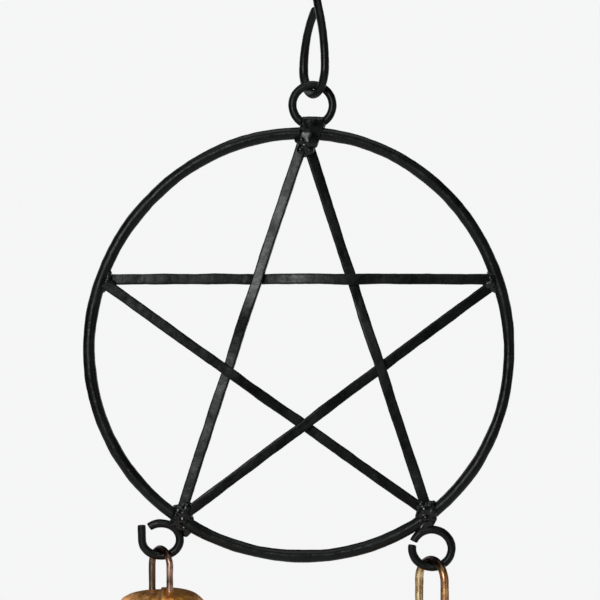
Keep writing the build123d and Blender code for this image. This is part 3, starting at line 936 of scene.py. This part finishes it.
def build_staple(hand, seed):
    """The U of wire brazed under the crown."""
    node = f"{hand}_bell_staple"
    lo, hi = corners(node)
    wire = wire_of(node)
    bend = STAPLE_BEND * BELL_SIZES[hand]
    reach = (hi[0] - lo[0] - wire) / 2
    bar = lo[2] + wire / 2
    rise = hi[2] - bar
    trace = turtle((-reach, rise), 270.0,
                   [(rise - bend, None), (bend, 90.0), (2 * (reach - bend), None),
                    (bend, 90.0), (rise - bend, None)], step=8.0)
    points = np.array([((lo[0] + hi[0]) / 2 + x, 0.0, bar + z) for x, z in trace])
    verts, faces = sweep(points, FORWARD, circle(wire / 2, 18), step=0.4 * MM,
                         dents=[(seed, 2 * MM, 0.05 * MM)])
    make_piece(node, verts, faces, CLAPPER_IRON, f"{hand}_bell")


def build_rod(hand, seed):
    """A clapper's rod, with its top bent into an eye round the staple."""
    node = f"{hand}_clapper_rod"
    lo, hi = corners(node)
    wire = hi[0] - lo[0]
    x = (lo[0] + hi[0]) / 2
    eye = ROD_EYE * BELL_SIZES[hand]
    top = hi[2] - wire / 2
    # From the rod's foot up to its neck, and once round the eye in the YZ plane.
    neck = top - ROD_NECK * eye
    ring = [(x, eye * math.sin(t), top - eye - eye * math.cos(t))
            for t in np.radians(np.arange(0, 356, 8))]
    points = np.array([(x, 0.0, lo[2]), (x, 0.0, neck), *ring])
    verts, faces = sweep(points, np.array([1.0, 0, 0]), circle(wire / 2, 18), step=0.35 * MM,
                         bevel=0.3 * MM, dents=[(seed, 2 * MM, 0.05 * MM)])
    make_piece(node, verts, faces, CLAPPER_IRON, f"{hand}_clapper")


def build_striker(hand, seed):
    """A clapper's forged striker, a rounded lump with uneven sides."""
    node = f"{hand}_clapper_striker"
    lo, hi = corners(node)
    middle = (lo + hi) / 2
    tall, radius = (hi[2] - lo[2]) / 2, (hi[0] - lo[0]) / 2

    def forged(turns, r, height, layer):
        around = [(r * math.cos(t), r * math.sin(t), height) for t in turns]
        return 0.28 * MM * ripple(around, seed, 4 * MM) * min(1.0, r / (0.3 * radius)), 0.0

    rows = [(radius * math.sin(t) ** 0.8, middle[2] + tall * math.cos(t), "out")
            for t in np.linspace(0, math.pi, 30)]
    verts, faces = welded(*lathe((middle[0], middle[1]), rows, forged, 48))
    make_piece(node, verts, faces, CLAPPER_IRON, f"{hand}_clapper")


# ---------------------------------------------------------------- surroundings

# The floor's radius, its drop below the chime, and how much it glows by itself.
FLOOR_REACH = 5.0 * HOOP_WIDTH
FLOOR_GAP = 0.35 * HOOP_WIDTH
FLOOR_GLOW = 0.2
# The strength of the surroundings as a light.
BOUNCE = 0.03
# Square lights: name, place from the hoop's middle, width and power in watts.
LIGHTS = [
    ("key", (-0.34, -0.9, 0.2), 0.26, 5.4),
    ("fill", (0.95, -0.55, 0.05), 0.5, 0.7),
    ("overhead", (0.0, -0.15, 0.9), 0.8, 4.2),
    ("rim", (-0.6, 0.7, 0.35), 0.6, 1.8),
    ("back", (0.6, 0.8, 0.1), 0.6, 1.8),
]
# The camera's distance, the width it sees at the hoop, and its height over the hoop's middle.
CAMERA_DISTANCE = 0.9
CAMERA_SPAN = 1.384 * HOOP_WIDTH
CAMERA_RISE = 0.1064 * HOOP_WIDTH


def build_floor():
    """A pale round floor under the chime that fades out before its edge."""
    level = float(CAD_BOX[0][2]) - FLOOR_GAP
    shape = bmesh.new()
    bmesh.ops.create_circle(shape, cap_ends=True, segments=96, radius=FLOOR_REACH)
    mesh = bpy.data.meshes.new("floor")
    shape.to_mesh(mesh)
    shape.free()
    floor = bpy.data.objects.new("floor", mesh)
    floor.location = (float(HOOP_CENTRE[0]), 0.0, level)
    bpy.context.scene.collection.objects.link(floor)
    s = Surface("pale_floor")
    far = s.node("ShaderNodeVectorMath", operation="LENGTH")
    s.link(s.place, far.inputs[0])
    tone = s.spread(s.cloud(40 * MM, 3), 0.3, 0.7)
    s.finish(s.blend(tone, FLOOR_DIM, FLOOR_PALE), s.spread(tone, 0, 1, 0.75, 0.85),
             Specular_IOR_Level=0.2, Emission_Color=WHITE, Emission_Strength=FLOOR_GLOW)
    fade = s.spread(far.outputs["Value"], 0.45 * FLOOR_REACH, 0.98 * FLOOR_REACH, 1.0, 0.0)
    # The floor is one-sided, so that the chime can be seen from underneath.
    under = s.node("ShaderNodeNewGeometry").outputs["Backfacing"]
    s.link(s.sum(fade, s.spread(under, 0, 1, 1, 0), "MULTIPLY"), s.shader.inputs["Alpha"])
    mesh.materials.append(s.material)


def build_world():
    """Even pale surroundings. The backdrop is brighter to the eye than as a light."""
    world = bpy.data.worlds.new("studio")
    bpy.context.scene.world = world
    world.use_nodes = True
    tree = world.node_tree
    tree.nodes.clear()
    seen, lit = (tree.nodes.new("ShaderNodeBackground") for _ in range(2))
    seen.inputs["Color"].default_value = BACKDROP
    lit.inputs["Color"].default_value = WHITE
    lit.inputs["Strength"].default_value = BOUNCE
    rays = tree.nodes.new("ShaderNodeLightPath")
    mix = tree.nodes.new("ShaderNodeMixShader")
    out = tree.nodes.new("ShaderNodeOutputWorld")
    tree.links.new(rays.outputs["Is Camera Ray"], mix.inputs[0])
    tree.links.new(lit.outputs[0], mix.inputs[1])
    tree.links.new(seen.outputs[0], mix.inputs[2])
    tree.links.new(mix.outputs[0], out.inputs[0])


def soft_light(name, place, width, watts):
    """A square soft light aimed at the middle of the chime, unseen by the camera."""
    data = bpy.data.lights.new(name, "AREA")
    data.shape, data.size, data.energy = "SQUARE", width, watts
    data.color = LAMP
    light = bpy.data.objects.new(name, data)
    target = Vector(HOOP_CENTRE)
    light.location = target + Vector(place)
    light.rotation_euler = (target - light.location).to_track_quat("-Z", "Y").to_euler()
    light.visible_camera = False
    bpy.context.scene.collection.objects.link(light)


def build_camera():
    """A long lens straight in front, a little above the middle of the hoop."""
    data = bpy.data.cameras.new("camera")
    data.sensor_width = 36.0
    data.lens = data.sensor_width * CAMERA_DISTANCE / CAMERA_SPAN
    data.clip_start = 0.01
    camera = bpy.data.objects.new("camera", data)
    camera.location = Vector(HOOP_CENTRE) + Vector((0, -CAMERA_DISTANCE, CAMERA_RISE))
    camera.rotation_euler = (math.pi / 2, 0, 0)
    bpy.context.scene.collection.objects.link(camera)
    bpy.context.scene.camera = camera
    bpy.context.scene.view_settings.view_transform = "Standard"


build_camera()
build_world()
for light in LIGHTS:
    soft_light(*light)
build_floor()
build_hook()
build_hoop()
build_eye()
for hand in OPEN_RINGS:
    build_open_ring(hand)
for index, bar in enumerate(BARS):
    build_bar(index, *bar)
corner_weld("weld_left", "left", PLAIN_CORNER, 71)
corner_weld("weld_right", "right", PLAIN_CORNER, 72)
corner_weld("weld_apex", "apex", APEX_CORNER, 73)
corner_weld("weld_foot_left", "foot_left", FOOT_CORNER + LEFT_RING_SEAT, 74)
corner_weld("weld_foot_right", "foot_right", FOOT_CORNER + RIGHT_RING_SEAT, 75)
eye_weld()
for hand, seed in (("left", 91), ("right", 101)):
    build_bell(hand, seed)
    build_loop(hand, seed + 3)
    build_staple(hand, seed + 5)
    build_rod(hand, seed + 6)
    build_striker(hand, seed + 8)
